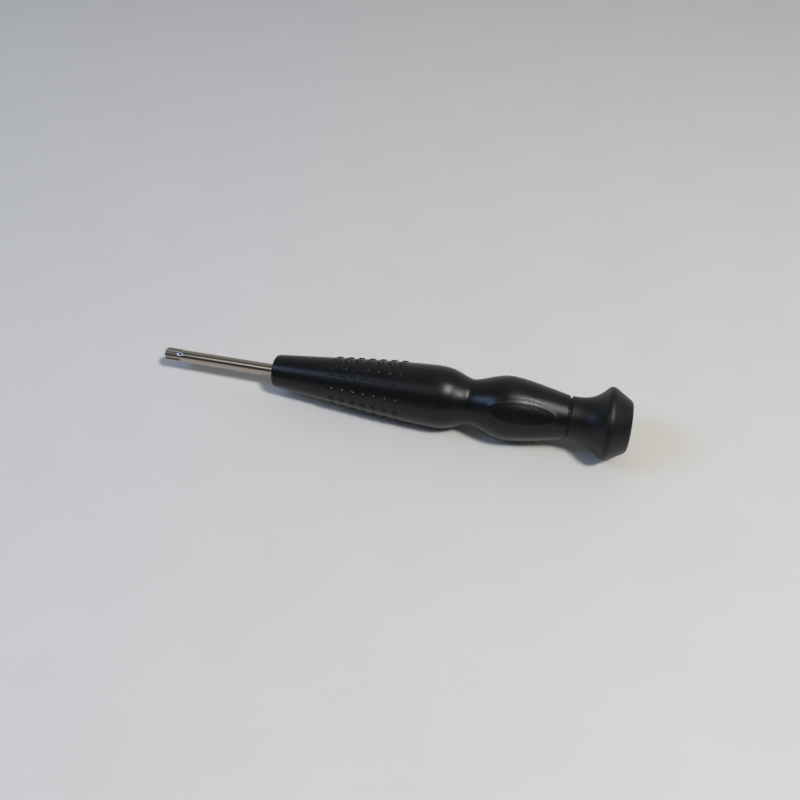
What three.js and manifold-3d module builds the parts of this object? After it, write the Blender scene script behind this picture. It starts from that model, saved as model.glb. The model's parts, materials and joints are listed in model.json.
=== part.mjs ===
// Precision driver for watch and instrument work: a fixed star blade, a moulded grip and a cap
// that turns on a small ball bearing, so that a finger rests on it while the grip is rolled.
// Millimetres. The pieces are laid out along X from the grip's nose, at x = 0: the blade runs
// towards -X and the cap towards +X. The whole tool is then tipped as it lies on a table, +Z up.
import * as THREE from 'three';
import { mergeVertices } from 'three/addons/utils/BufferGeometryUtils.js';
import Module from 'manifold-3d';

const wasm = await Module();
wasm.setup();

// ---- driving dimensions, mm ----

// Blade: exposed length, length held in the core, and the star milled into its end.
const BLADE_REACH = 39;
const BLADE_HELD = 48;
const BLADE_RADIUS = 2;
const BLADE_CHAMFER = 0.3;
const FLUTE_DEPTH = 0.6;
const FLUTE_LENGTH = 4;
const FLUTE_RUN_OUT = 2.4;
const STAR_LOBES = 6;
const WING = { from: 30, to: 38, width: 6, thickness: 0.8 };

// Grip: stations along the axis with the skin's radius and slope at each, and how far the curve
// holds that slope before and after the station.
const NOSE_FACE_RADIUS = 4.05;
const NOSE = { x: 1.4, r: 5.45, slope: 0.1, after: 15 };
const FRONT_BULGE = { x: 54.8, r: 9.93, slope: 0, before: 9.9, after: 5.4 };
const WAIST = { x: 65.3, r: 7.26, slope: 0, before: 2.3, after: 2.6 };
const REAR_BULGE = { x: 77, r: 10.1, slope: 0, before: 4.7, after: 4.1 };
const GRIP_END = { x: 95.3, r: 6.85, slope: -0.215, before: 6.1 };

// Raised dots on the front of the grip, in rings that line up lengthwise. Turns are from +Z to -Y.
const DOT = { rings: 7, rows: 12, first: 21, pitch: 3.57, radius: 1.15, crown: 0.85, height: 0.35, sides: 6 };
const DOT_ROW_TURN = THREE.MathUtils.degToRad(37.7);

// Plain oval pad on the rear bulge.
const PAD = { x: 81.5, length: 22, width: 9.4, height: 0.25 };
const PAD_TURN = THREE.MathUtils.degToRad(49);
const PAD_SIDES = 20;

// Core: an eight-sided bar inside the skin, which keeps the skin from turning.
const CORE = [
  { x: 2.5, r: 3.6 },
  { x: 20, r: 4.6 },
  { x: FRONT_BULGE.x, r: 6.6 },
  { x: WAIST.x, r: 4.8 },
  { x: REAR_BULGE.x, r: 6.6 },
  { x: GRIP_END.x, r: 5 },
];

// Turning cap: stations of its skin, and the hard hub inside it.
const CAP_GAP = 0.6;
const CAP_FACE = { x: GRIP_END.x + CAP_GAP, r: 6.4 };
const CAP_NECK = { x: CAP_FACE.x + 0.4, r: 6.8, slope: 0, after: 3.5 };
const CAP_FLARE = { x: 106.2, r: 10.8, slope: 1.15, before: 3.5 };
const CAP_RIM_CORNER = { x: 107.2, r: 12 };
const CAP_BEVEL = { x: 108.7, r: 11.1 };
const CAP_BEVEL_END = { x: 112.6, r: 8.65 };
const CAP_END_CORNER = { x: 114, r: 7.77 };
const CAP_END = { x: 114, r: 6.9 };
const HUB = { from: 96.4, to: 112.9, lip: 4.2, front: 5.7, bore: 5, counterbore: 111.9 };
const HUB_OUTSIDE = [
  { x: HUB.from, r: HUB.front },
  { x: 99.5, r: 5.95 },
  { x: 102.6, r: 7 },
  { x: 105.7, r: 9.6 },
  { x: 107.4, r: 10.2 },
  { x: HUB.to, r: 7 },
];
const END_DISC = { from: 112, to: 114, radius: 6.1, spigotFrom: 109.5, spigot: 4.9, bore: 4 };

// Ball bearing, 3 x 10 x 4, and what holds it on the pin and in the hub.
const BEARING = { from: 99.4, width: 4, bore: 1.5, outer: 4.95, pitch: 3.25, ball: 0.794, balls: 7 };
const RACE = { inner: 2.7, outer: 3.8, groove: 0.86 };
const CAGE = { inner: 2.95, outer: 3.54, width: 2.4, pocket: 0.87 };
const SHIELD = { inner: 2.85, outer: 3.75, thickness: 0.25, inset: 0.13 };
const PIN = { from: 82, rootTo: 95, to: 105.7, root: 2.2, knurl: 0.2, seat: 1.45, groove: 1.15 };
const SPACER = { from: 95.4, outer: 2.6 };
const PIN_WASHER = { from: 103.5, to: 104, outer: 2.6 };
const E_CLIP = { from: 104.1, thickness: 0.6, outer: 3, relief: 2, inner: 1.2, mouth: 0.9 };
const HUB_CLIP = { from: 103.55, thickness: 0.8, outer: 5.35, inner: 4.5, lug: 3.9 };

// Angles from the middle of each clip's mouth, in degrees.
const E_CLIP_ANGLES = { prongEnd: 81, reliefFrom: 90, reliefTo: 144, backProng: 153 };
const HUB_CLIP_ANGLES = { mouth: 29, lugEnd: 49 };

// Fits: working clearance between neighbours, and a clip's room in its groove.
const FIT = 0.06;
// Nylon ring that closes the gap between the grip and the cap.
const DUST_RING = { from: GRIP_END.x + FIT, thickness: 0.42, outer: 6.25 };
const CLIP_ROOM = 0.1;
const RUNNING_ROOM = 0.3;

// Flats on turned pieces. One flat of each outer piece faces down, so the tool doesn't roll.
const SIDES = 24;
const BLADE_SIDES = 36;
const CORE_SIDES = 8;
const CURVE_STEPS = 6;
const RUN_OUT_STEPS = 4;

// ---- materials ----

const material = (color, roughness, metalness) =>
  new THREE.MeshStandardMaterial({ color, roughness, metalness });
const CHROME = material('#c9cbcc', 0.12, 1);
const STEEL = material('#a9abad', 0.35, 1);
const DARK_STEEL = material('#5c5e61', 0.45, 1);
const HARD_BLACK = material('#1b1b1d', 0.35, 0);
const SKIN_BLACK = material('#161617', 0.5, 0);
const CAP_BLACK = material('#141415', 0.62, 0);

// ---- geometry helpers ----

const at = (x, r) => new THREE.Vector2(x, r);

// Turns an outline of (x, radius) points about X. Flats, not corners, sit at the stated radius.
function turned(outline, sides = SIDES) {
  const toCorner = 1 / Math.cos(Math.PI / sides);
  const points = outline.map((p) => new THREE.Vector2(p.y * toCorner, p.x));
  return new THREE.LatheGeometry(points, sides, Math.PI / sides).rotateZ(-Math.PI / 2);
}

// Carries a path from one station to the next on a curve that leaves and meets each at its slope.
function sweep(path, start, end, proud = 0) {
  path.bezierCurveTo(
    start.x + start.after, start.r + start.after * start.slope + proud,
    end.x - end.before, end.r - end.before * end.slope + proud,
    end.x, end.r + proud,
  );
}

function rod(from, to, radius) {
  return turned([at(from, 0), at(from, radius), at(to, radius), at(to, 0)]);
}

function ring(from, to, inner, outer) {
  return turned([at(from, inner), at(from, outer), at(to, outer), at(to, inner), at(from, inner)]);
}

function toSolid(geometry) {
  const bare = geometry.clone();
  bare.deleteAttribute('normal');
  bare.deleteAttribute('uv');
  const merged = mergeVertices(bare, 1e-4);
  const triangles = [];
  for (let i = 0; i < merged.index.count; i += 3) {
    const [a, b, c] = [0, 1, 2].map((k) => merged.index.getX(i + k));
    if (a !== b && b !== c && c !== a) triangles.push(a, b, c);
  }
  const vertProperties = new Float32Array(merged.attributes.position.array);
  const triVerts = new Uint32Array(triangles);
  return new wasm.Manifold(new wasm.Mesh({ numProp: 3, vertProperties, triVerts }));
}

function toGeometry(solid) {
  const mesh = solid.getMesh();
  const geometry = new THREE.BufferGeometry();
  geometry.setAttribute('position', new THREE.BufferAttribute(mesh.vertProperties, 3));
  geometry.setIndex(new THREE.BufferAttribute(mesh.triVerts, 1));
  return geometry;
}

function cut(body, ...tools) {
  return toGeometry(tools.reduce((solid, tool) => solid.subtract(toSolid(tool)), toSolid(body)));
}

function extruded(shape, from, thickness) {
  const settings = { depth: thickness, bevelEnabled: false, curveSegments: 12 };
  return new THREE.ExtrudeGeometry(shape, settings).rotateY(Math.PI / 2).translate(from, 0, 0);
}

// ---- blade ----

// How far the star's flutes cut below the shaft, by angle and by distance from the tip.
function fluteCut(angle, fromTip) {
  const runOut = Math.max(0, fromTip - FLUTE_LENGTH) / FLUTE_RUN_OUT;
  const wave = (1 - Math.cos(STAR_LOBES * angle)) / 2;
  return Math.max(0, FLUTE_DEPTH * (wave - runOut * runOut));
}

function bladeGeometry() {
  const tip = -BLADE_REACH;
  const fluteEnd = FLUTE_LENGTH + FLUTE_RUN_OUT;
  const stations = [BLADE_CHAMFER, FLUTE_LENGTH / 2, FLUTE_LENGTH];
  for (let step = 1; step <= RUN_OUT_STEPS; step += 1) {
    stations.push(FLUTE_LENGTH + (FLUTE_RUN_OUT * step) / RUN_OUT_STEPS);
  }
  const outline = [at(tip, 0), at(tip, BLADE_RADIUS - BLADE_CHAMFER)];
  outline.push(...stations.map((x) => at(tip + x, BLADE_RADIUS)));
  outline.push(at(BLADE_HELD, BLADE_RADIUS), at(BLADE_HELD, 0));
  const shaft = turned(outline, BLADE_SIDES);
  const position = shaft.attributes.position;
  const point = new THREE.Vector3();
  for (let i = 0; i < position.count; i += 1) {
    point.fromBufferAttribute(position, i);
    const radius = Math.hypot(point.y, point.z);
    const fromTip = point.x - tip;
    if (radius < FIT || fromTip > fluteEnd) continue;
    const angle = Math.atan2(point.z, point.y) + Math.PI / BLADE_SIDES;
    const corner = BLADE_RADIUS / Math.cos(Math.PI / BLADE_SIDES);
    const star = Math.min(radius, corner - fluteCut(angle, fromTip));
    position.setXYZ(i, point.x, (point.y * star) / radius, (point.z * star) / radius);
  }
  return toGeometry(toSolid(shaft).add(toSolid(wings(0))));
}

// Two coined wings that stop the blade turning in the core; the same block, enlarged, is the slot.
function wings(room) {
  const length = WING.to - WING.from + 2 * room;
  const block = new THREE.BoxGeometry(length, WING.width + 2 * room, WING.thickness + 2 * room);
  return block.translate((WING.from + WING.to) / 2, 0, 0);
}

// ---- handle ----

// Outline of the skin, all of it a little proud where that is asked for.
function gripOutline(proud = 0) {
  const path = new THREE.Path();
  path.moveTo(0, NOSE_FACE_RADIUS + proud);
  path.quadraticCurveTo(0, NOSE.r - NOSE.x * NOSE.slope + proud, NOSE.x, NOSE.r + proud);
  const stations = [NOSE, FRONT_BULGE, WAIST, REAR_BULGE, GRIP_END];
  stations.slice(1).forEach((end, index) => sweep(path, stations[index], end, proud));
  return [at(0, 0), ...path.getPoints(CURVE_STEPS), at(GRIP_END.x, 0)];
}

function coreOutline(room = 0) {
  const [first, last] = [CORE[0].x - room, GRIP_END.x + room];
  const outline = CORE.map(({ x, r }) => at(x, r + room));
  outline[0].x = first;
  outline[outline.length - 1].x = last;
  return [at(first, 0), ...outline, at(last, 0)];
}

function gripRadius(x) {
  const outline = gripOutline();
  const next = outline.findIndex((p) => p.x > x);
  const [a, b] = [outline[next - 1], outline[next]];
  return THREE.MathUtils.mapLinear(x, a.x, b.x, a.y, b.y);
}

// One dot: a low six-sided crown standing on the skin, sunk into it by its own height.
function dotSolid(x, turn) {
  const skin = gripRadius(x);
  const dot = new THREE.CylinderGeometry(DOT.crown, DOT.radius, 2 * DOT.height, DOT.sides);
  return toSolid(dot.rotateX(Math.PI / 2).translate(x, 0, skin).rotateX(turn));
}

function dots() {
  const solids = [];
  for (let ringIndex = 0; ringIndex < DOT.rings; ringIndex += 1) {
    const x = DOT.first + ringIndex * DOT.pitch;
    for (let row = 0; row < DOT.rows; row += 1) {
      solids.push(dotSolid(x, DOT_ROW_TURN + (row * 2 * Math.PI) / DOT.rows));
    }
  }
  return wasm.Manifold.union(solids);
}

function pad() {
  const oval = new THREE.CylinderGeometry(PAD.width / 2, PAD.width / 2, 2 * REAR_BULGE.r, PAD_SIDES);
  oval.translate(0, REAR_BULGE.r, 0).scale(PAD.length / PAD.width, 1, 1).rotateX(Math.PI / 2);
  oval.translate(PAD.x, 0, 0).rotateX(PAD_TURN);
  return toSolid(turned(gripOutline(PAD.height))).intersect(toSolid(oval));
}

function gripGeometry() {
  const skin = toSolid(turned(gripOutline())).add(dots()).add(pad());
  const bore = toSolid(turned(coreOutline(FIT), CORE_SIDES));
  const noseHole = toSolid(rod(-1, CORE[0].x, BLADE_RADIUS + FIT));
  return toGeometry(skin.subtract(bore).subtract(noseHole));
}

function coreGeometry() {
  const bladeSocket = rod(0, BLADE_HELD + RUNNING_ROOM, BLADE_RADIUS + FIT);
  const pinSocket = rod(PIN.from - RUNNING_ROOM, GRIP_END.x + 1, PIN.root + FIT);
  return cut(turned(coreOutline(), CORE_SIDES), bladeSocket, wings(RUNNING_ROOM / 2), pinSocket);
}

// ---- bearing and the pin it runs on ----

// The pin's root is knurled: every other corner is pressed in.
function pinGeometry() {
  const grooveFrom = E_CLIP.from - CLIP_ROOM;
  const grooveTo = E_CLIP.from + E_CLIP.thickness + CLIP_ROOM;
  const pin = turned([
    at(PIN.from, 0), at(PIN.from, PIN.root), at(PIN.rootTo, PIN.root),
    at(PIN.rootTo, PIN.seat), at(grooveFrom, PIN.seat), at(grooveFrom, PIN.groove),
    at(grooveTo, PIN.groove), at(grooveTo, PIN.seat), at(PIN.to, PIN.seat), at(PIN.to, 0),
  ]);
  const position = pin.attributes.position;
  for (let i = 0; i < position.count; i += 1) {
    const [y, z] = [position.getY(i), position.getZ(i)];
    const corner = Math.round((Math.atan2(z, y) / Math.PI) * SIDES / 2 - 0.5);
    const radius = Math.hypot(y, z);
    if (radius < PIN.root || Math.abs(corner % 2) === 0) continue;
    const pressed = (radius - PIN.knurl) / radius;
    position.setY(i, y * pressed);
    position.setZ(i, z * pressed);
  }
  return pin;
}

// Flat nylon ring on the spacer, which closes the gap between grip and cap against dust.
function dustRingGeometry() {
  const { from, thickness, outer } = DUST_RING;
  return ring(from, from + thickness, SPACER.outer + FIT, outer);
}

const bearingMiddle = BEARING.from + BEARING.width / 2;
const bearingEnd = BEARING.from + BEARING.width;

// Points of a race's groove, an arc about the balls' pitch circle, from one land to the other.
function grooveArc(land, side) {
  const half = Math.acos(Math.abs(land - BEARING.pitch) / RACE.groove);
  const steps = [-1, -0.5, 0, 0.5, 1];
  return steps.map((step) => at(
    bearingMiddle + RACE.groove * Math.sin(step * half),
    BEARING.pitch + side * RACE.groove * Math.cos(step * half),
  ));
}

function innerRingGeometry() {
  return turned([
    at(BEARING.from, BEARING.bore), at(BEARING.from, RACE.inner),
    ...grooveArc(RACE.inner, -1),
    at(bearingEnd, RACE.inner), at(bearingEnd, BEARING.bore), at(BEARING.from, BEARING.bore),
  ]);
}

function outerRingGeometry() {
  return turned([
    at(BEARING.from, RACE.outer), at(BEARING.from, BEARING.outer),
    at(bearingEnd, BEARING.outer), at(bearingEnd, RACE.outer),
    ...grooveArc(RACE.outer, 1).reverse(), at(BEARING.from, RACE.outer),
  ]);
}

function ballCentre(index) {
  const angle = (index * 2 * Math.PI) / BEARING.balls;
  const radius = BEARING.pitch;
  return new THREE.Vector3(bearingMiddle, radius * Math.cos(angle), radius * Math.sin(angle));
}

function cageGeometry() {
  const band = ring(bearingMiddle - CAGE.width / 2, bearingMiddle + CAGE.width / 2, CAGE.inner, CAGE.outer);
  const pockets = [];
  for (let index = 0; index < BEARING.balls; index += 1) {
    const pocket = new THREE.CylinderGeometry(CAGE.pocket, CAGE.pocket, 2, 12);
    pocket.translate(0, BEARING.pitch, 0).rotateX((index * 2 * Math.PI) / BEARING.balls);
    pockets.push(pocket.translate(bearingMiddle, 0, 0));
  }
  return cut(band, ...pockets);
}

function ballMesh(index) {
  const ball = new THREE.Mesh(new THREE.IcosahedronGeometry(BEARING.ball, 1), CHROME);
  ball.name = `bearing_ball_${index + 1}`;
  ball.position.copy(ballCentre(index));
  return ball;
}

// A shield snapped into the outer ring, just inside its face.
function shieldGeometry(from) {
  return ring(from, from + SHIELD.thickness, SHIELD.inner, SHIELD.outer);
}

// Adds an arc about the origin. The first arc of a clip runs the long way round its back, and the
// others run back towards the mouth, so angles are in degrees and negative below the mouth.
function arc(shape, radius, from, to) {
  const [start, end] = [from, to].map((angle) => THREE.MathUtils.degToRad((angle + 360) % 360));
  shape.absarc(0, 0, radius, start, end, start > end);
}

// Three-pronged clip that springs into the pin's groove from the side.
function eClipGeometry() {
  const { outer, inner, relief, mouth } = E_CLIP;
  const { prongEnd, reliefFrom, reliefTo, backProng } = E_CLIP_ANGLES;
  const mouthOuter = THREE.MathUtils.radToDeg(Math.asin(mouth / outer));
  const mouthInner = THREE.MathUtils.radToDeg(Math.asin(mouth / inner));
  const shape = new THREE.Shape();
  arc(shape, outer, mouthOuter, -mouthOuter);
  arc(shape, inner, -mouthInner, -prongEnd);
  arc(shape, relief, -reliefFrom, -reliefTo);
  arc(shape, inner, -backProng, backProng);
  arc(shape, relief, reliefTo, reliefFrom);
  arc(shape, inner, prongEnd, mouthInner);
  return extruded(shape, E_CLIP.from, E_CLIP.thickness);
}

// Sprung ring in the hub's groove, with a lug at each end for pliers.
function hubClipGeometry() {
  const { outer, inner, lug } = HUB_CLIP;
  const { mouth, lugEnd } = HUB_CLIP_ANGLES;
  const shape = new THREE.Shape();
  arc(shape, outer, mouth, -mouth);
  arc(shape, lug, -mouth, -lugEnd);
  arc(shape, inner, -lugEnd, lugEnd);
  arc(shape, lug, lugEnd, mouth);
  return extruded(shape, HUB_CLIP.from, HUB_CLIP.thickness);
}

// ---- turning cap ----

function capOutline() {
  const path = new THREE.Path();
  path.moveTo(CAP_FACE.x, CAP_FACE.r);
  path.quadraticCurveTo(CAP_FACE.x, CAP_NECK.r, CAP_NECK.x, CAP_NECK.r);
  sweep(path, CAP_NECK, CAP_FLARE);
  path.quadraticCurveTo(CAP_RIM_CORNER.x, CAP_RIM_CORNER.r, CAP_BEVEL.x, CAP_BEVEL.r);
  path.lineTo(CAP_BEVEL_END.x, CAP_BEVEL_END.r);
  path.quadraticCurveTo(CAP_END_CORNER.x, CAP_END_CORNER.r, CAP_END.x, CAP_END.r);
  return path.getPoints(CURVE_STEPS);
}

// Soft skin over the hub, open in front round the bearing and behind round the end disc.
function capSkinGeometry() {
  const [before, behind] = [CAP_FACE.x - 1, CAP_END.x + 1];
  const hubBack = HUB.to + FIT;
  const discHole = END_DISC.radius + FIT;
  const hub = HUB_OUTSIDE.map(({ x, r }) => at(x, r + FIT));
  hub[hub.length - 1].x = hubBack;
  const inside = [at(before, 0), at(before, HUB.front + FIT), ...hub];
  inside.push(at(hubBack, discHole), at(behind, discHole), at(behind, 0));
  const body = turned([at(CAP_FACE.x, 0), ...capOutline(), at(CAP_END.x, 0)]);
  return cut(body, turned(inside));
}

function hubGeometry() {
  const grooveFrom = HUB_CLIP.from - CLIP_ROOM;
  const grooveTo = HUB_CLIP.from + HUB_CLIP.thickness + CLIP_ROOM;
  const groove = HUB_CLIP.outer + CLIP_ROOM;
  const shoulder = BEARING.from - FIT;
  const inside = [
    at(HUB.to, END_DISC.radius + FIT), at(HUB.counterbore, END_DISC.radius + FIT),
    at(HUB.counterbore, HUB.bore), at(grooveTo, HUB.bore), at(grooveTo, groove),
    at(grooveFrom, groove), at(grooveFrom, HUB.bore), at(shoulder, HUB.bore),
    at(shoulder, HUB.lip), at(HUB.from, HUB.lip), at(HUB.from, HUB.front),
  ];
  return turned([...HUB_OUTSIDE.map(({ x, r }) => at(x, r)), ...inside]);
}

// Plug that closes the hub; the finger rests on its flat face.
function endDiscGeometry() {
  const { from, to, radius, spigotFrom, spigot, bore } = END_DISC;
  return turned([
    at(from, 0), at(from, bore), at(spigotFrom, bore), at(spigotFrom, spigot),
    at(from, spigot), at(from, radius), at(to, radius), at(to, 0),
  ]);
}

// ---- assembly ----

function piece(name, geometry, finish) {
  const mesh = new THREE.Mesh(geometry, finish);
  mesh.name = name;
  return mesh;
}

const handle = new THREE.Group();
handle.add(
  piece('blade', bladeGeometry(), CHROME),
  piece('handle_core', coreGeometry(), HARD_BLACK),
  piece('grip_sleeve', gripGeometry(), SKIN_BLACK),
  piece('swivel_pin', pinGeometry(), STEEL),
  piece('spacer_sleeve', ring(SPACER.from, BEARING.from - FIT, BEARING.bore, SPACER.outer), STEEL),
  piece('dust_ring', dustRingGeometry(), HARD_BLACK),
  piece('bearing_inner_ring', innerRingGeometry(), CHROME),
  piece('pin_washer', ring(PIN_WASHER.from, PIN_WASHER.to, BEARING.bore, PIN_WASHER.outer), STEEL),
  piece('e_clip', eClipGeometry(), DARK_STEEL),
);

const bearing = new THREE.Group();
bearing.add(piece('bearing_cage', cageGeometry(), STEEL));
for (let index = 0; index < BEARING.balls; index += 1) bearing.add(ballMesh(index));

const cap = new THREE.Group();
cap.add(
  piece('bearing_outer_ring', outerRingGeometry(), CHROME),
  piece('bearing_shield_front', shieldGeometry(BEARING.from + SHIELD.inset), STEEL),
  piece('bearing_shield_rear', shieldGeometry(bearingEnd - SHIELD.inset - SHIELD.thickness), STEEL),
  piece('hub_circlip', hubClipGeometry(), DARK_STEEL),
  piece('cap_hub', hubGeometry(), HARD_BLACK),
  piece('cap_skin', capSkinGeometry(), CAP_BLACK),
  piece('cap_end_disc', endDiscGeometry(), HARD_BLACK),
);

// The tool lies on its cap's rim and its front bulge, so its tail is tipped up between them.
const rimRadius = Math.max(...capOutline().map((p) => p.y));
const rimX = capOutline().find((p) => p.y === rimRadius).x;
const lie = Math.atan2(rimRadius - FRONT_BULGE.r, rimX - FRONT_BULGE.x);

const tool = new THREE.Group();
tool.add(handle, bearing, cap);
tool.rotation.y = -lie;
tool.updateMatrixWorld(true);
const box = new THREE.Box3().setFromObject(tool, true);
tool.position.set(-(box.min.x + box.max.x) / 2, 0, -box.min.z);

export default tool;
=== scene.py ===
# %% [markdown]
# # A precision screwdriver with a turning cap
# The tool has three things to look at: a chrome-plated star blade, a black moulded grip with a
# waist and rows of small dots, and a black soft-touch cap that spins on a ball bearing. Nearly
# every piece of it was turned or moulded round one axis, so nearly every piece here starts as a
# flat outline that is spun round that axis. The measurements are in millimetres from the grip's
# nose, as they would be on the maker's drawing, and one matrix lays the finished pieces down.
#
# The first cell loads the tool's exact solids. Each of them is a node that either stays and gets
# a finish, or is replaced by a finer mesh of the same shape.

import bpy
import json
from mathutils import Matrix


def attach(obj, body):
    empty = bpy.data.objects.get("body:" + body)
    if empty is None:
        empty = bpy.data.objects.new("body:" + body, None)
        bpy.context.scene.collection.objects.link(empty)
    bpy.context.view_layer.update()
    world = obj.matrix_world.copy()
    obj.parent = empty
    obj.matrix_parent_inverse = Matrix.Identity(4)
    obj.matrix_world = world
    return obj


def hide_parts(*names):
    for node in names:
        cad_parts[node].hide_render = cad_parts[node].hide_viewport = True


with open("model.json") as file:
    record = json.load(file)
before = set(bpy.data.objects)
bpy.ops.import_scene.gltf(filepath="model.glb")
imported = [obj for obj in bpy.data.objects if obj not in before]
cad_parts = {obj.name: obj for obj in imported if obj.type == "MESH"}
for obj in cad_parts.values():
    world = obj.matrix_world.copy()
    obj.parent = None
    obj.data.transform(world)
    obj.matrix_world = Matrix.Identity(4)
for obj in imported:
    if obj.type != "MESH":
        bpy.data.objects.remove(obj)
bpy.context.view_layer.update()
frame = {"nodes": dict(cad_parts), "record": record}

# %% Libraries and units
import json
import math

import bmesh
import bpy
from mathutils import Matrix, Vector
from mathutils.geometry import interpolate_bezier

MM = 0.001
FULL_TURN = 2 * math.pi
print(f"one drawing unit is {MM} m")

# %% [markdown]
# ## The tool's own axis
# The tool lies on its front bulge and its cap's rim, so its axis rises a little towards the cap.
# Each object could be turned into place, but a finished piece has to keep its place in its mesh.
# So the axis is found once, from two of the record's mounts: the middle of the blade's end face,
# and the direction of the cap's end face. `PLACE` then turns drawing millimetres into the
# frame's metres, and every new mesh goes through it.

# %% Find the axis
BLADE_REACH = 39.0
mounts = {mount["name"]: mount for mount in frame["record"]["mounts"]}
AXIS = Vector(mounts["cap_end_face"]["axis"]).normalized()
NOSE = Vector(mounts["drive_tip_face"]["pos_m"]) + AXIS * BLADE_REACH * MM
TILT = math.atan2(AXIS.z, AXIS.x)
PLACE = Matrix.Translation(NOSE) @ Matrix.Rotation(-TILT, 4, "Y") @ Matrix.Scale(MM, 4)
print(f"axis rises {math.degrees(TILT):.2f} degrees, nose at {[round(c, 5) for c in NOSE]}")

# %% [markdown]
# ## The camera
# The view looks down at 48 degrees and a little from the cap's side, close enough for the cap to
# look bigger than the nose. A 36 mm lens on a 36 mm sensor covers 53 degrees, so the tool fills
# the middle of the frame from a quarter of a metre away. The camera could be aimed by a
# constraint, but two angles and a distance are easier to read, and they say the same thing.

# %% Place the camera
CAMERA_TURN = math.radians(13.85)
CAMERA_RISE = math.radians(48.0)
CAMERA_DISTANCE = 0.256
CAMERA_LENS = 36
CAMERA_SENSOR = 36
CAMERA_NEAREST = 0.01
AIM_ALONG = 42.2
AIM_DROP = 3.04

camera = bpy.data.objects.new("camera", bpy.data.cameras.new("camera"))
bpy.context.scene.collection.objects.link(camera)
bpy.context.scene.camera = camera
camera.data.sensor_width = CAMERA_SENSOR
camera.data.lens = CAMERA_LENS
camera.data.clip_start = CAMERA_NEAREST
towards = Vector((
    math.sin(CAMERA_TURN) * math.cos(CAMERA_RISE),
    -math.cos(CAMERA_TURN) * math.cos(CAMERA_RISE),
    math.sin(CAMERA_RISE),
))
facing = (-towards).to_track_quat("-Z", "Y")
aim = PLACE @ Vector((AIM_ALONG, 0, 0)) - facing @ Vector((0, AIM_DROP * MM, 0))
camera.location = aim + towards * CAMERA_DISTANCE
camera.rotation_euler = facing.to_euler()
print("camera at", [round(c, 3) for c in camera.location])

# %% [markdown]
# ## Colours and nodes
# Colours are picked as sRGB hex values, because that is how a colour looks on a screen, and the
# renderer wants linear light, so one function turns one into the other. A second small function
# adds a node, sets what it is given and makes its links. Nodes could also be added one line at a
# time, but then a finish no longer reads like a recipe.

# %% Colour helper
def linear(hex_colour):
    """Linear light of an sRGB hex value: a straight toe, then a power curve."""
    channels = [int(hex_colour[i:i + 2], 16) / 255 for i in (1, 3, 5)]
    return [c / 12.92 if c <= 0.04045 else ((c + 0.055) / 1.055) ** 2.4 for c in channels] + [1.0]


print("mid grey #808080 is", round(linear("#808080")[0], 3), "in linear light")

# %% Node helper
FACTOR, COLOUR_A, COLOUR_B, MIXED_COLOUR = 0, 6, 7, 2  # sockets of a Mix node set to colour


def add(tree, kind, inputs=None, **settings):
    """Adds a node. An input given as a socket is linked, and any other value is set."""
    made = tree.nodes.new(kind)
    for name, value in settings.items():
        setattr(made, name, value)
    for name, value in (inputs or {}).items():
        if isinstance(value, bpy.types.NodeSocket):
            tree.links.new(value, made.inputs[name])
        else:
            made.inputs[name].default_value = value
    return made

# %% Material helpers
def new_finish(name):
    """An empty material: its node tree, and coordinates in metres with X along the tool."""
    material = bpy.data.materials.new(name)
    material.use_nodes = True
    tree = material.node_tree
    tree.nodes.clear()
    place = add(tree, "ShaderNodeTexCoord").outputs["Object"]
    along_axis = add(tree, "ShaderNodeMapping", {"Vector": place, "Rotation": (0, TILT, 0)})
    return material, tree, along_axis.outputs["Vector"]


def close_finish(tree, shader):
    add(tree, "ShaderNodeOutputMaterial", {"Surface": shader.outputs["BSDF"]})


def per_metre(size_mm):
    """Scale of a texture whose features are to be this many millimetres apart."""
    return 1 / (size_mm * MM)


print("a 0.3 mm grain has a texture scale of", round(per_metre(0.3)))

# %% [markdown]
# ## Finish: moulded ABS grip
# The grip is black ABS from a steel mould whose walls were spark-eroded. That leaves a fine matt
# grain that spreads a highlight without hiding it. The real grain is finer than a render can
# show, so it is drawn 0.3 mm apart. Pockets and tool rolls have rubbed shallow waves into the
# skin, a millimetre or so apart, which ruffle the edges of the highlights, and hands polish it
# unevenly, so the roughness also drifts over about a centimetre. An image of a worn surface
# would give all this at once, but three noises need no picture and keep their real sizes. The
# grain is pits and the waves are dents, so both bumps are inverted.

# %% Grip plastic
def grip_plastic():
    material, tree, place = new_finish("moulded_abs_grip")
    grain = add(tree, "ShaderNodeTexNoise", {
        "Vector": place, "Scale": per_metre(0.3), "Detail": 2.0,
    })
    wear = add(tree, "ShaderNodeTexNoise", {
        "Vector": place, "Scale": per_metre(9), "Detail": 3.0,
    })
    scuffs = add(tree, "ShaderNodeTexNoise", {
        "Vector": place, "Scale": per_metre(1.1), "Detail": 4.0,
    })
    mixed = add(tree, "ShaderNodeMath", {0: wear.outputs["Fac"], 1: scuffs.outputs["Fac"]})
    rough = add(tree, "ShaderNodeMapRange", {
        "Value": mixed.outputs[0], "From Min": 0.7, "From Max": 1.3, "To Min": 0.25, "To Max": 0.36,
    })
    tone = add(tree, "ShaderNodeMix", {
        FACTOR: wear.outputs["Fac"], COLOUR_A: linear("#0a0b0c"), COLOUR_B: linear("#0f1011"),
    }, data_type="RGBA")
    waves = add(tree, "ShaderNodeBump", {
        "Height": scuffs.outputs["Fac"], "Strength": 1.0, "Distance": 0.004 * MM,
    }, invert=True)
    bumps = add(tree, "ShaderNodeBump", {
        "Height": grain.outputs["Fac"], "Strength": 1.0, "Distance": 0.001 * MM,
        "Normal": waves.outputs["Normal"],
    }, invert=True)
    close_finish(tree, add(tree, "ShaderNodeBsdfPrincipled", {
        "Base Color": tone.outputs[MIXED_COLOUR], "Roughness": rough.outputs[0],
        "Normal": bumps.outputs["Normal"], "IOR": 1.4,
    }))
    return material

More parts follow.
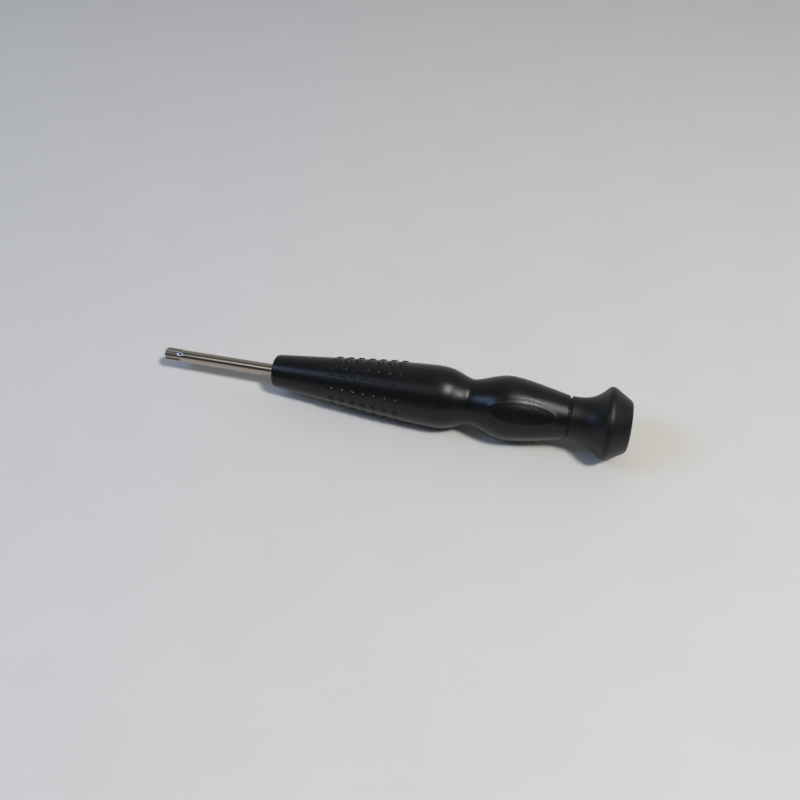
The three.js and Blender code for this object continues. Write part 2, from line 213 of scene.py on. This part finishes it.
# %% [markdown]
# ## Finish: soft-touch cap
# The cap has a skin of thermoplastic rubber. It is duller than the grip, because its grain is
# deeper and the rubber scatters light just under its surface, and it picks up pale dust that
# shows as a faint bloom at glancing angles. Subsurface light would be truer, but in black rubber
# it can't be told from a higher roughness, so that and a little sheen do the work.

# %% Cap rubber
def cap_rubber():
    material, tree, place = new_finish("soft_touch_rubber")
    grain = add(tree, "ShaderNodeTexNoise", {
        "Vector": place, "Scale": per_metre(0.25), "Detail": 3.0,
    })
    wear = add(tree, "ShaderNodeTexNoise", {
        "Vector": place, "Scale": per_metre(6), "Detail": 4.0,
    })
    rough = add(tree, "ShaderNodeMapRange", {
        "Value": wear.outputs["Fac"],
        "From Min": 0.3, "From Max": 0.7, "To Min": 0.37, "To Max": 0.45,
    })
    tone = add(tree, "ShaderNodeMix", {
        FACTOR: wear.outputs["Fac"], COLOUR_A: linear("#08090a"), COLOUR_B: linear("#0e0f10"),
    }, data_type="RGBA")
    bumps = add(tree, "ShaderNodeBump", {
        "Height": grain.outputs["Fac"], "Strength": 1.0, "Distance": 0.01 * MM,
    })
    close_finish(tree, add(tree, "ShaderNodeBsdfPrincipled", {
        "Base Color": tone.outputs[MIXED_COLOUR], "Roughness": rough.outputs[0],
        "Normal": bumps.outputs["Normal"], "IOR": 1.39,
        "Sheen Weight": 0.03, "Sheen Roughness": 0.5,
    }))
    return material

# %% [markdown]
# ## Finish: chrome plate
# The blade is a ground steel rod with bright chrome plate. Chrome takes on every polishing line
# of the metal under it, and those lines run round the rod where it was ground between wheels.
# They are far finer than a render can show, so they are drawn 0.12 mm apart and very shallow.
# An anisotropic shader would stretch the highlights in the same way, but it needs tangents, and
# a noise that is squeezed along the rod shows the lines themselves as well.

# %% Blade chrome
def blade_chrome():
    material, tree, place = new_finish("chrome_plate")
    lines = add(tree, "ShaderNodeMapping", {
        "Vector": place, "Scale": (per_metre(0.12), per_metre(4), per_metre(4)),
    })
    polish = add(tree, "ShaderNodeTexNoise", {
        "Vector": lines.outputs[0], "Scale": 1.0, "Detail": 2.0,
    })
    haze = add(tree, "ShaderNodeTexNoise", {
        "Vector": place, "Scale": per_metre(3), "Detail": 3.0,
    })
    rough = add(tree, "ShaderNodeMapRange", {
        "Value": haze.outputs["Fac"],
        "From Min": 0.3, "From Max": 0.7, "To Min": 0.08, "To Max": 0.16,
    })
    bumps = add(tree, "ShaderNodeBump", {
        "Height": polish.outputs["Fac"], "Strength": 1.0, "Distance": 0.0006 * MM,
    })
    close_finish(tree, add(tree, "ShaderNodeBsdfPrincipled", {
        "Base Color": linear("#b6aca1"), "Metallic": 1.0, "Roughness": rough.outputs[0],
        "Normal": bumps.outputs["Normal"],
    }))
    return material

# %% [markdown]
# ## Finishes inside the tool
# The hard core, the hub and the ring in the gap are black nylon mouldings, dull enough for the
# gap to look black, and the end disc is ABS with a fine grain. The pin and washers are turned
# steel, the bearing is ground and polished, its cage and shields are pressed sheet, and the
# clips are dark with phosphate. Each could have a recipe of its own, but they differ only in
# colour, in roughness and in how far apart and how deep their marks are, so one recipe with
# those values serves all of them.

# %% A recipe for the inner pieces
UNEVEN = 0.2  # share by which the roughness goes up and down


def inner_finish(name, colour, metallic, roughness, mark_mm, depth_mm):
    material, tree, place = new_finish(name)
    marks = add(tree, "ShaderNodeTexNoise", {
        "Vector": place, "Scale": per_metre(mark_mm), "Detail": 3.0,
    })
    rough = add(tree, "ShaderNodeMapRange", {
        "Value": marks.outputs["Fac"], "From Min": 0.3, "From Max": 0.7,
        "To Min": roughness * (1 - UNEVEN), "To Max": roughness * (1 + UNEVEN),
    })
    bumps = add(tree, "ShaderNodeBump", {
        "Height": marks.outputs["Fac"], "Strength": 1.0, "Distance": depth_mm * MM,
    })
    close_finish(tree, add(tree, "ShaderNodeBsdfPrincipled", {
        "Base Color": linear(colour), "Metallic": metallic, "Roughness": rough.outputs[0],
        "Normal": bumps.outputs["Normal"],
    }))
    return material

# %% All the finishes, by the slot that each one fills
FINISHES = {
    "grip_plastic": grip_plastic(),
    "cap_plastic": cap_rubber(),
    "blade_chrome": blade_chrome(),
    "core_plastic": inner_finish("hard_black_nylon", "#070708", 0.0, 0.42, 0.4, 0.002),
    "disc_plastic": inner_finish("fine_grain_abs", "#1a1a1c", 0.0, 0.5, 0.2, 0.01),
    "pin_steel": inner_finish("turned_steel", "#b9b9b8", 1.0, 0.3, 0.15, 0.002),
    "bearing_steel": inner_finish("polished_bearing_steel", "#c4c4c3", 1.0, 0.1, 0.5, 0.0005),
    "cage_steel": inner_finish("pressed_steel_sheet", "#aaa9a6", 1.0, 0.38, 0.3, 0.003),
    "clip_steel": inner_finish("phosphated_spring_steel", "#4a4a4d", 1.0, 0.5, 0.12, 0.004),
}
print("finishes:", ", ".join(material.name for material in FINISHES.values()))

# %% [markdown]
# ## Turning an outline
# `bmesh.ops.spin` sweeps an outline of points round the axis, as a lathe or a two-part mould
# would shape it. A Screw modifier does the same to an object, but the operator leaves a plain
# mesh that can be worked on straight away. A full turn meets itself, so the seam is merged and
# the normals are worked out again. An outline that starts and ends on the axis makes a solid,
# and one that returns to its start makes a ring.

# %% Spin an outline
ROUND = 144
SAME_POINT = 0.001


def spun(outline, ring=False):
    """Spins (distance along, radius) points in millimetres about X, and returns the bmesh."""
    bm = bmesh.new()
    verts = [bm.verts.new((x, 0, r)) for x, r in outline]
    edges = [bm.edges.new(pair) for pair in zip(verts, verts[1:])]
    if ring:
        edges.append(bm.edges.new((verts[-1], verts[0])))
    bmesh.ops.spin(
        bm, geom=verts + edges, cent=(0, 0, 0), axis=(1, 0, 0), angle=FULL_TURN,
        steps=ROUND, use_merge=True, use_duplicate=False,
    )
    bmesh.ops.remove_doubles(bm, verts=bm.verts, dist=SAME_POINT)
    bmesh.ops.recalc_face_normals(bm, faces=bm.faces)
    return bm

# %% [markdown]
# ## Rounding and laying down
# No real edge is quite sharp, so corners are bevelled where the outline doesn't round them. Then
# a mesh is laid in the frame, shaded smooth up to a crease angle, hung on the body it rides on and
# given its finish, and the nodes that it stands for are hidden.

# %% Round the edges
SHARP_CORNER = math.radians(40)
BEVEL_SEGMENTS = 2


def soften(bm, width):
    """Rounds every sharp edge, as a mould or a file leaves it."""
    sharp = [
        e for e in bm.edges if len(e.link_faces) == 2 and e.calc_face_angle() > SHARP_CORNER
    ]
    bmesh.ops.bevel(
        bm, geom=sharp, offset=width, offset_type="OFFSET", segments=BEVEL_SEGMENTS,
        profile=0.5, affect="EDGES", material=-1, clamp_overlap=True,
    )

# %% Finish a piece
CREASE = math.radians(38)


def piece(name, bm, body, slot, *stands_for):
    """Lays a drawing-space bmesh in the frame as a finished piece of the tool."""
    bm.transform(PLACE)
    mesh = bpy.data.meshes.new(name)
    bm.to_mesh(mesh)
    bm.free()
    mesh.shade_smooth()
    mesh.set_sharp_from_angle(angle=CREASE)
    made = bpy.data.objects.new(name, mesh)
    bpy.context.scene.collection.objects.link(made)
    mesh.materials.append(FINISHES[slot])
    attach(made, body)
    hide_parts(*stands_for)
    print(f"{name}: {len(mesh.vertices)} points, {len(mesh.polygons)} faces")
    return made

# %% [markdown]
# ## The star blade
# The shaft is 4 mm steel rod. Six flutes are milled into its end by a small round cutter, and
# each flute climbs out of the metal along the cutter's own radius, which leaves the pointed
# run-outs. Modelling that with booleans would leave ragged edges, so the rod is spun with close
# rings near its tip and each point is then pushed in by the depth of the cut above it.

# %% Star dimensions
BLADE_RADIUS = 2.0
STAR_LOBES = 6
FLUTE_RADIUS = 0.8
FLUTE_FLOOR = 1.38
FLUTE_LENGTH = 4.0
CUTTER_RADIUS = 4.95
EDGE_BLEND = 0.05


def smooth_min(a, b, blend):
    """The smaller of two values, with the corner between them rounded over."""
    share = max(0.0, min(1.0, 0.5 + 0.5 * (b - a) / blend))
    return b + (a - b) * share - blend * share * (1 - share)


def star_radius(turn, from_tip):
    """Radius of the fluted end at an angle, at a distance from the tip."""
    climb = max(0.0, from_tip - FLUTE_LENGTH)
    if climb >= CUTTER_RADIUS:
        return BLADE_RADIUS
    lift = CUTTER_RADIUS - math.sqrt(CUTTER_RADIUS ** 2 - climb ** 2)
    centre = FLUTE_FLOOR + FLUTE_RADIUS + lift
    step = FULL_TURN / STAR_LOBES
    off_floor = abs((turn + step / 2) % step - step / 2)
    reach = FLUTE_RADIUS ** 2 - (centre * math.sin(off_floor)) ** 2
    if reach <= 0:
        return BLADE_RADIUS
    floor = centre * math.cos(off_floor) - math.sqrt(reach)
    return smooth_min(BLADE_RADIUS, floor, EDGE_BLEND)


print("a flute is", round(BLADE_RADIUS - star_radius(0, 0), 2), "mm deep at the tip")

# %% [markdown]
# ### The rod and its wings
# Inside the handle, two wings are coined out of the rod, flat as a butterfly's, so that the
# blade can't turn in the plastic. Separate wings could be joined on, but on the real rod they
# are one piece with it, so the same push that cuts the flutes goes outwards and makes them.

# %% Rod outline
BLADE_HELD = 48.0
TIP_CHAMFER = 0.25
TIP_RING = 1.0  # radius of a ring on the tip's flat face
REAR_CHAMFER = 0.3
FLUTE_RINGS = 54
FLUTE_RING_GAP = 0.12
WING_FROM, WING_TO = 30.0, 38.0
WING_RAMP = 0.4


def rod_outline():
    tip = -BLADE_REACH
    fluted = [tip + TIP_CHAMFER + FLUTE_RING_GAP * step for step in range(FLUTE_RINGS)]
    middle = (-20, 0)
    wings = (WING_FROM, WING_FROM + WING_RAMP, WING_TO - WING_RAMP, WING_TO)
    shaft = (*fluted, *middle, *wings, BLADE_HELD - REAR_CHAMFER)
    return [
        (tip, 0), (tip, TIP_RING), (tip, BLADE_RADIUS - TIP_CHAMFER),
        *((x, BLADE_RADIUS) for x in shaft),
        (BLADE_HELD, BLADE_RADIUS - REAR_CHAMFER), (BLADE_HELD, 0),
    ]

# %% Spin the rod, mill the star and coin the wings
WING_REACH, WING_HALF = 3.0, 0.4
STILL_WITHIN = 0.5  # points nearer the axis than this stay where they are
FLATTEST = 0.01


def star_blade():
    bm = spun(rod_outline())
    for vert in bm.verts:
        radius = math.hypot(vert.co.y, vert.co.z)
        if radius < STILL_WITHIN:
            continue
        turn = math.atan2(vert.co.z, vert.co.y)
        wanted = min(radius, star_radius(turn, vert.co.x + BLADE_REACH))
        if WING_FROM < vert.co.x < WING_TO:
            wing = WING_HALF / max(abs(math.sin(turn)), FLATTEST)
            wanted = max(wanted, min(WING_REACH, wing))
        vert.co.y *= wanted / radius
        vert.co.z *= wanted / radius
    return piece("star_blade", bm, "handle", "blade_chrome", "blade")


star_blade()

# %% [markdown]
# ## The grip
# The grip is one hollow moulding: a blunt nose, a slim cone, a bulge for the fingertips, a
# waist, and a second bulge that tapers to the gap. A cage with a Subdivision Surface could take
# that shape too, but it is round all the way, so the outline alone decides it: five smooth
# sweeps through those places, drawn as Bezier curves that leave each station along its own slope.

# %% Smooth sweeps
CURVE_POINTS = 40


def sweep(start, leave, arrive, end, count=CURVE_POINTS):
    """Points of a Bezier curve from one (along, radius) point to another."""
    flat = [(x, r, 0) for x, r in (start, leave, arrive, end)]
    return [(p.x, p.y) for p in interpolate_bezier(*flat, count)]

# %% Grip outline
NOSE_EDGE = (1.4, 5.45)
FRONT_BULGE = (54.8, 9.93)
WAIST = (65.3, 7.26)
REAR_BULGE = (77, 10.1)
GRIP_TAIL = (95.0, 6.915)
GRIP_LENGTH = 95.3
NOSE_POINTS, CONE_POINTS, TAIL_POINTS = 10, 100, 6


def grip_outline():
    curves = [
        sweep((0, 4.05), (0, 4.95), (0.45, 5.36), NOSE_EDGE, NOSE_POINTS),
        sweep(NOSE_EDGE, (16.4, 6.95), (44.9, FRONT_BULGE[1]), FRONT_BULGE, CONE_POINTS),
        sweep(FRONT_BULGE, (60.2, FRONT_BULGE[1]), (63.0, WAIST[1]), WAIST),
        sweep(WAIST, (67.9, WAIST[1]), (72.3, REAR_BULGE[1]), REAR_BULGE),
        sweep(REAR_BULGE, (81.1, REAR_BULGE[1]), (89.2, 8.16), GRIP_TAIL),
        sweep(GRIP_TAIL, (95.2, 6.87), (GRIP_LENGTH, 6.8), (GRIP_LENGTH, 6.6), TAIL_POINTS),
    ]
    return [curves[0][0]] + [point for curve in curves for point in curve[1:]]


print("the grip's outline has", len(grip_outline()), "points")

# %% [markdown]
# ### Dots and pad
# Seven rings of twelve dots stand on the front of the grip. Each is a flat button 2.3 mm wide at
# its foot and 0.36 mm high, with a soft shoulder. On the rear bulge is a plain oval pad with a
# broad, slightly raised border. The dots and the pad are part of the moulding, not stuck on, so
# separate discs would show a seam, and a bump in the finish would leave the silhouette smooth.
# Instead one function gives the height of the relief at any point of the skin.

# %% Where the dots are
DOT_RINGS = 7
DOT_ROWS = 12
DOT_FIRST = 21.0
DOT_PITCH = 3.57
DOT_TURN = math.radians(37.7)
DOT_STEP = FULL_TURN / DOT_ROWS


def turn_of(co):
    """Angle round the axis, from straight up towards the front."""
    return math.atan2(-co.y, co.z)


def from_dot(co):
    """Distance in millimetres from the middle of the nearest dot."""
    radius = math.hypot(co.y, co.z)
    ring = max(0, min(DOT_RINGS - 1, round((co.x - DOT_FIRST) / DOT_PITCH)))
    row = (turn_of(co) - DOT_TURN + DOT_STEP / 2) % DOT_STEP - DOT_STEP / 2
    return math.hypot(co.x - DOT_FIRST - ring * DOT_PITCH, radius * row)


print("dots:", DOT_RINGS * DOT_ROWS)

# %% Where the pad is
PAD_ALONG = 81.5
PAD_TURN = math.radians(49)
PAD_HALF = (11.0, 4.7)
PAD_MIDDLE = 0.001  # keeps the division safe in the very middle
NOT_ZERO = 1e-6


def inside_pad(co):
    """Distance in millimetres inside the pad's outer edge, negative outside it."""
    radius = math.hypot(co.y, co.z)
    across = radius * ((turn_of(co) - PAD_TURN + math.pi) % FULL_TURN - math.pi)
    u, v = (co.x - PAD_ALONG) / PAD_HALF[0], across / PAD_HALF[1]
    level = max(math.hypot(u, v), PAD_MIDDLE)
    return (1 - level) * level / math.hypot(u / PAD_HALF[0], v / PAD_HALF[1], NOT_ZERO)

# %% Height of the relief
DOT_FOOT = 1.17
DOT_CROWN = 0.9
DOT_HEIGHT = 0.36
PAD_HEIGHT = 0.09
PAD_HOLLOW = 0.06
PAD_BORDER = 1.3
PAD_SLOPE = 1.1


def step_up(value, width):
    """Rises smoothly from 0 to 1 as the value goes from 0 to the width."""
    share = max(0.0, min(1.0, value / width))
    return share * share * (3 - 2 * share)


def relief(co):
    dot = step_up(DOT_FOOT - from_dot(co), DOT_FOOT - DOT_CROWN)
    depth = inside_pad(co)
    border = step_up(depth, PAD_SLOPE)
    hollow = step_up(depth - PAD_BORDER, PAD_SLOPE)
    return DOT_HEIGHT * dot + PAD_HEIGHT * border - PAD_HOLLOW * hollow


print("a dot is", relief(Vector((DOT_FIRST, -math.sin(DOT_TURN), math.cos(DOT_TURN)))), "mm high")

# %% [markdown]
# ### A finer mesh where the relief is
# The height could be laid on with a Displace modifier over an evenly fine mesh, but most of those
# faces would be wasted on the plain cone. So the spun skin is halved, twice, only round the dots
# and along the pad's border, and the points there are then moved outwards.

# %% Refine near the relief
RELIEF_EDGES = (0.3, 0.15)  # longest edges after each round of halving
DOT_FLAT, DOT_ROOM = 0.3, 0.35
PAD_ROOM, PAD_FLAT = 0.5, 0.3


def refine(bm, wanted, longest):
    """Halves the edges longer than a limit that lie where `wanted` says."""
    edges = [e for e in bm.edges if e.calc_length() > longest and wanted(e)]
    bmesh.ops.subdivide_edges(bm, edges=edges, cuts=1, use_grid_fill=True)


def near_relief(edge):
    middle = (edge.verts[0].co + edge.verts[1].co) / 2
    near_pad = -PAD_ROOM < inside_pad(middle) < PAD_BORDER + PAD_SLOPE + PAD_FLAT
    return DOT_FLAT < from_dot(middle) < DOT_FOOT + DOT_ROOM or near_pad

# %% [markdown]
# ### The core that the skin is moulded over
# The core is an eight-sided bar, so the skin can't turn on it. It follows the grip's bulges and
# waist, so the skin can't slide off it either. The frame's own core stays, and its shape, with a
# little room, is the hollow of the skin. A boolean could cut it out, and a bridge could join an
# eight-sided shell to a round one, but both leave slivers or folds. Instead the hollow is spun in
# as many steps as the skin, its points are pushed out to the flats and corners, and its two end
# rings lie exactly on the skin's rims, so that merging the doubles closes the whole skin.

# %% The hollow for the core
CORE_SIDES = 8
CORE_STATIONS = [(2.5, 3.6), (20, 4.6), (54.8, 6.6), (65.3, 4.8), (77, 6.6), (GRIP_LENGTH, 5.0)]
FIT = 0.06  # room between two pieces
HOLLOW_FRONT = CORE_STATIONS[0][0] - FIT
NOSE_HOLE = BLADE_RADIUS + FIT
TAIL_RING = 6.0  # radius of a ring on the flat face at the gap


def core_hollow():
    """The hollow, from the skin's front rim to its rear one, with flats at the stations."""
    stations = [(x, r + FIT) for x, r in CORE_STATIONS]
    stations[0] = (HOLLOW_FRONT, stations[0][1])
    bm = spun([(HOLLOW_FRONT, NOSE_HOLE), *stations, (GRIP_LENGTH, TAIL_RING)])
    side = FULL_TURN / CORE_SIDES
    for vert in bm.verts:
        radius = math.hypot(vert.co.y, vert.co.z)
        if min(abs(radius - NOSE_HOLE), abs(radius - TAIL_RING)) > SAME_POINT:
            off_middle = (math.atan2(vert.co.z, vert.co.y) + side / 2) % side - side / 2
            vert.co.y /= math.cos(off_middle)
            vert.co.z /= math.cos(off_middle)
    return bm


print("the hollow starts", round(HOLLOW_FRONT, 2), "mm behind the nose")

# %% Spin the skin and raise the relief
HOLE_CHAMFER = 0.15
RELIEF_FROM = 2  # the nose has no relief


def grip_skin():
    """The outside of the skin, open at the front and rear rims of its hollow."""
    mouth = [
        (HOLLOW_FRONT, NOSE_HOLE), (HOLE_CHAMFER, NOSE_HOLE), (0, NOSE_HOLE + HOLE_CHAMFER),
    ]
    skin = spun(mouth + grip_outline() + [(GRIP_LENGTH, TAIL_RING)])
    for longest in RELIEF_EDGES:
        refine(skin, near_relief, longest)
    for vert in skin.verts:
        radius = math.hypot(vert.co.y, vert.co.z)
        if vert.co.x > RELIEF_FROM:
            raised = (radius + relief(vert.co)) / radius
            vert.co.y *= raised
            vert.co.z *= raised
    return skin

# %% Close the skin round its hollow
def moulded_grip():
    skin = grip_skin()
    hollow = core_hollow()
    hollow_mesh = bpy.data.meshes.new("hollow")
    hollow.to_mesh(hollow_mesh)
    hollow.free()
    skin.from_mesh(hollow_mesh)
    bpy.data.meshes.remove(hollow_mesh)
    bmesh.ops.remove_doubles(skin, verts=skin.verts, dist=SAME_POINT)
    bmesh.ops.recalc_face_normals(skin, faces=skin.faces)
    closed = all(e.is_contiguous for e in skin.edges)
    print(f"closed: {closed}, {skin.calc_volume(signed=True):.0f} mm3 of plastic")
    return piece("moulded_grip", skin, "handle", "grip_plastic", "grip_sleeve")


moulded_grip()

# %% [markdown]
# ## The ring in the gap
# A flat nylon ring sits on the spacer between the grip and the cap, so the gap is a groove less
# than a millimetre deep that keeps dust off the bearing, and it looks black from every side. It
# could be left as the plain solid, but its edges catch light in the gap, so they are rounded.

# %% Nylon ring
RING_FROM, RING_TO = 95.36, 95.78
RING_HOLE, RING_RIM = 2.66, 6.25
RING_EDGE = 0.08


def nylon_ring():
    section = [
        (RING_FROM, RING_HOLE), (RING_FROM, RING_RIM), (RING_TO, RING_RIM), (RING_TO, RING_HOLE),
    ]
    bm = spun(section, ring=True)
    soften(bm, RING_EDGE)
    return piece("nylon_ring", bm, "handle", "core_plastic", "dust_ring")


nylon_ring()

# %% [markdown]
# ## The cap
# The cap is a rubber skin over a hard hub, with a disc that closes the hub's end. The skin runs
# straight off the gap, flares like a trumpet to a rounded rim, slopes back and rounds over to a
# flat end. Fingers turn it by the flare and push on the end. A Solidify modifier could give one
# shell its wall, but the wall isn't even, so the skin is one closed ring of outline: the outside
# there, and the hub's shape back. The hub's outline is shared, so it comes first.

# %% Hub outline
HUB_OUTSIDE = [(96.4, 5.7), (99.5, 5.95), (102.6, 7), (105.7, 9.6), (107.4, 10.2), (112.9, 7)]
HUB_BORE, HUB_MOUTH, CLIP_GROOVE, DISC_SEAT = 5, 4.2, 5.45, 6.16
HUB_INSIDE = [
    (112.9, DISC_SEAT), (111.9, DISC_SEAT), (111.9, HUB_BORE),
    (104.45, HUB_BORE), (104.45, CLIP_GROOVE), (103.45, CLIP_GROOVE), (103.45, HUB_BORE),
    (99.34, HUB_BORE), (99.34, HUB_MOUTH), (96.4, HUB_MOUTH),
]
DISC_RADIUS = 6.1
END_CHAMFER = 0.15
print("the bearing's bore is", 2 * HUB_BORE, "mm wide")

# %% Cap skin
CAP_LIP = (95.9, 6.35)
CAP_NECK = (96.3, 6.8)
CAP_FLARE = (106.2, 10.8)
CAP_RIM = (108.7, 11.1)
CAP_SLOPE = (112.6, 8.65)
CAP_REAR = 114
LIP_POINTS, RIM_POINTS, REAR_POINTS = 8, 16, 12


def cap_outside():
    seat = DISC_RADIUS + FIT
    return [
        *sweep(CAP_LIP, (95.9, 6.6), (96.05, 6.8), CAP_NECK, LIP_POINTS),
        *sweep(CAP_NECK, (99.8, 6.8), (102.7, 6.78), CAP_FLARE),
        *sweep(CAP_FLARE, (106.87, 11.6), (107.7, 11.7), CAP_RIM, RIM_POINTS),
        *sweep(CAP_SLOPE, (113.6, 8.0), (CAP_REAR, 7.7), (CAP_REAR, 6.9), REAR_POINTS),
        (CAP_REAR, seat + END_CHAMFER), (CAP_REAR - END_CHAMFER, seat),
    ]


def cap_skin():
    hub = [(x, r + FIT) for x, r in HUB_OUTSIDE]
    hub[-1] = (HUB_OUTSIDE[-1][0] + FIT, hub[-1][1])
    inside = [(hub[-1][0], DISC_RADIUS + FIT)] + hub[::-1] + [(CAP_LIP[0], hub[0][1])]
    bm = spun(cap_outside() + inside, ring=True)
    return piece("cap_cover", bm, "cap", "cap_plastic", "cap_skin")


cap_skin()

# %% [markdown]
# ### End disc and hub
# The disc is a plug with a short skirt that presses into the hub, and the fingertip rests on it.
# The hub is a moulding with a step and a groove in its bore for the bearing and its clip. Both
# could be built up from cylinders, but a lathe's outline gives every step of them at once.

# %% End disc
DISC_FRONT, SKIRT_FRONT = 112, 109.5
SKIRT_INNER, SKIRT_OUTER = 4, 4.9


def end_disc():
    outline = [
        (DISC_FRONT, 0), (DISC_FRONT, SKIRT_INNER), (SKIRT_FRONT, SKIRT_INNER),
        (SKIRT_FRONT, SKIRT_OUTER), (DISC_FRONT, SKIRT_OUTER), (DISC_FRONT, DISC_RADIUS),
        (CAP_REAR - END_CHAMFER, DISC_RADIUS), (CAP_REAR, DISC_RADIUS - END_CHAMFER),
        (CAP_REAR, 0),
    ]
    return piece("end_disc", spun(outline), "cap", "disc_plastic", "cap_end_disc")


end_disc()

# %% Hub
HUB_EDGE = 0.12


def hub():
    bm = spun(HUB_OUTSIDE + HUB_INSIDE, ring=True)
    soften(bm, HUB_EDGE)
    return piece("hub", bm, "cap", "core_plastic", "cap_hub")


hub()

# %% [markdown]
# ## Carried-over pieces
# The core, the pin, the bearing and the clips show only in the gap or not at all. They could be
# modelled again with rounded edges, but nobody would see them, and the frame's own meshes have
# the right shape already, so they stay and only take their finish.

# %% Finish the frame's own pieces
slots = {part["node"]: part["material_slot"] for part in frame["record"]["subparts"]}
carried_over = {name: made for name, made in frame["nodes"].items() if not made.hide_render}
for name, made in carried_over.items():
    made.data.materials.clear()
    made.data.materials.append(FINISHES[slots[name]])
print("carried over:", ", ".join(sorted(carried_over)))

# %% [markdown]
# ## The floor
# The tool lies on a plain board with matt pale paint, which is never quite one colour. A single
# colour would look like empty space, so a slow noise drifts the paint between two close tones.

# %% Floor
FLOOR_HALF = 2.0


def pale_floor():
    bm = bmesh.new()
    bmesh.ops.create_grid(bm, x_segments=1, y_segments=1, size=FLOOR_HALF)
    mesh = bpy.data.meshes.new("floor")
    bm.to_mesh(mesh)
    bm.free()
    floor = bpy.data.objects.new("floor", mesh)
    bpy.context.scene.collection.objects.link(floor)
    material, tree, place = new_finish("pale_painted_board")
    mottle = add(tree, "ShaderNodeTexNoise", {
        "Vector": place, "Scale": per_metre(30), "Detail": 4.0,
    })
    tone = add(tree, "ShaderNodeMix", {
        FACTOR: mottle.outputs["Fac"], COLOUR_A: linear("#dfddd9"), COLOUR_B: linear("#e5e3df"),
    }, data_type="RGBA")
    close_finish(tree, add(tree, "ShaderNodeBsdfPrincipled", {
        "Base Color": tone.outputs[MIXED_COLOUR], "Roughness": 0.7,
    }))
    mesh.materials.append(material)
    print("the floor is", 2 * FLOOR_HALF, "m wide")


pale_floor()

# %% [markdown]
# ## The lights
# Two jobs are kept apart, which one lamp could not do as well. A warm key light from above the
# cap's side lights the floor and throws the shadow, and shows in no reflection. Two long ceiling
# tubes that run across the tool show only in reflections: they make the twin glints on the front
# bulge and the streak on the rear one. A cool window to the left adds the bluish patch on the
# waist, and two weak patches of ceiling lift the upper side of the grip.

# %% Light helper
def soft_light(name, towards_light, size, radiance, colour, lit=True, mirrored=True):
    """An area light a metre away that faces the tool, with its width along the tool.

    One that isn't `lit` shows only in reflections, and one that isn't `mirrored` shows in none.
    """
    light = bpy.data.objects.new(name, bpy.data.lights.new(name, "AREA"))
    bpy.context.scene.collection.objects.link(light)
    facing_light = Vector(towards_light).normalized()
    across = Vector((1, 0, 0))
    across = (across - across.dot(facing_light) * facing_light).normalized()
    upward = facing_light.cross(across)
    turned = Matrix((across, upward, facing_light)).transposed()
    light.matrix_world = Matrix.Translation(facing_light) @ turned.to_4x4()
    light.data.shape = "RECTANGLE"
    light.data.size, light.data.size_y = size
    light.data.energy = math.pi * size[0] * size[1] * radiance
    light.data.color = linear(colour)[:3]
    light.visible_diffuse = lit
    light.visible_glossy = mirrored
    print(f"{name}: {light.data.energy:.2f} W")

# %% Lights
soft_light("key", (0.47, -0.28, 0.84), (0.15, 0.15), 88, "#fffcf6", mirrored=False)
soft_light("tube", (0.31, -0.11, 0.94), (0.09, 0.48), 38, "#fffdf9", lit=False)
soft_light("far_tube", (0.64, -0.12, 0.76), (0.035, 0.42), 70, "#fffdf9", lit=False)
soft_light("window", (-0.71, -0.245, 0.66), (0.34, 0.3), 7.0, "#a4c6ff")
soft_light("ceiling_patch", (-0.44, -0.42, 0.79), (0.3, 0.34), 0.55, "#eef3ff")
soft_light("ceiling", (-0.26, -0.34, 0.90), (0.5, 0.45), 0.5, "#fbfbff")

# %% [markdown]
# ## The room
# Chrome looks like what stands round it, so the room is part of the finish. A picture of a room
# could be wrapped round the scene, but two smooth ramps are enough: the walls are dim in front
# and pale behind, and a little paler near the horizon, and the blade gets its light and dark bands.

# %% Room
world = bpy.data.worlds.new("room")
bpy.context.scene.world = world
world.use_nodes = True
sky = world.node_tree
sky.nodes.clear()
direction = add(sky, "ShaderNodeTexCoord").outputs["Generated"]
split = add(sky, "ShaderNodeSeparateXYZ", {0: direction})
behind = add(sky, "ShaderNodeMapRange", {
    "Value": split.outputs["Y"], "From Min": -0.1, "From Max": 0.75, "To Min": 0.06, "To Max": 0.38,
}, interpolation_type="SMOOTHSTEP")
horizon = add(sky, "ShaderNodeMapRange", {
    "Value": split.outputs["Z"], "From Min": 0.4, "From Max": 0.05, "To Min": 0.0, "To Max": 0.15,
}, interpolation_type="SMOOTHSTEP")
brightness = add(sky, "ShaderNodeMath", {0: behind.outputs[0], 1: horizon.outputs[0]})
room = add(sky, "ShaderNodeBackground", {
    "Color": linear("#f6f7fa"), "Strength": brightness.outputs[0],
})
add(sky, "ShaderNodeOutputWorld", {"Surface": room.outputs[0]})
bpy.context.scene.view_settings.view_transform = "Standard"
print("room:", len(sky.nodes), "nodes")
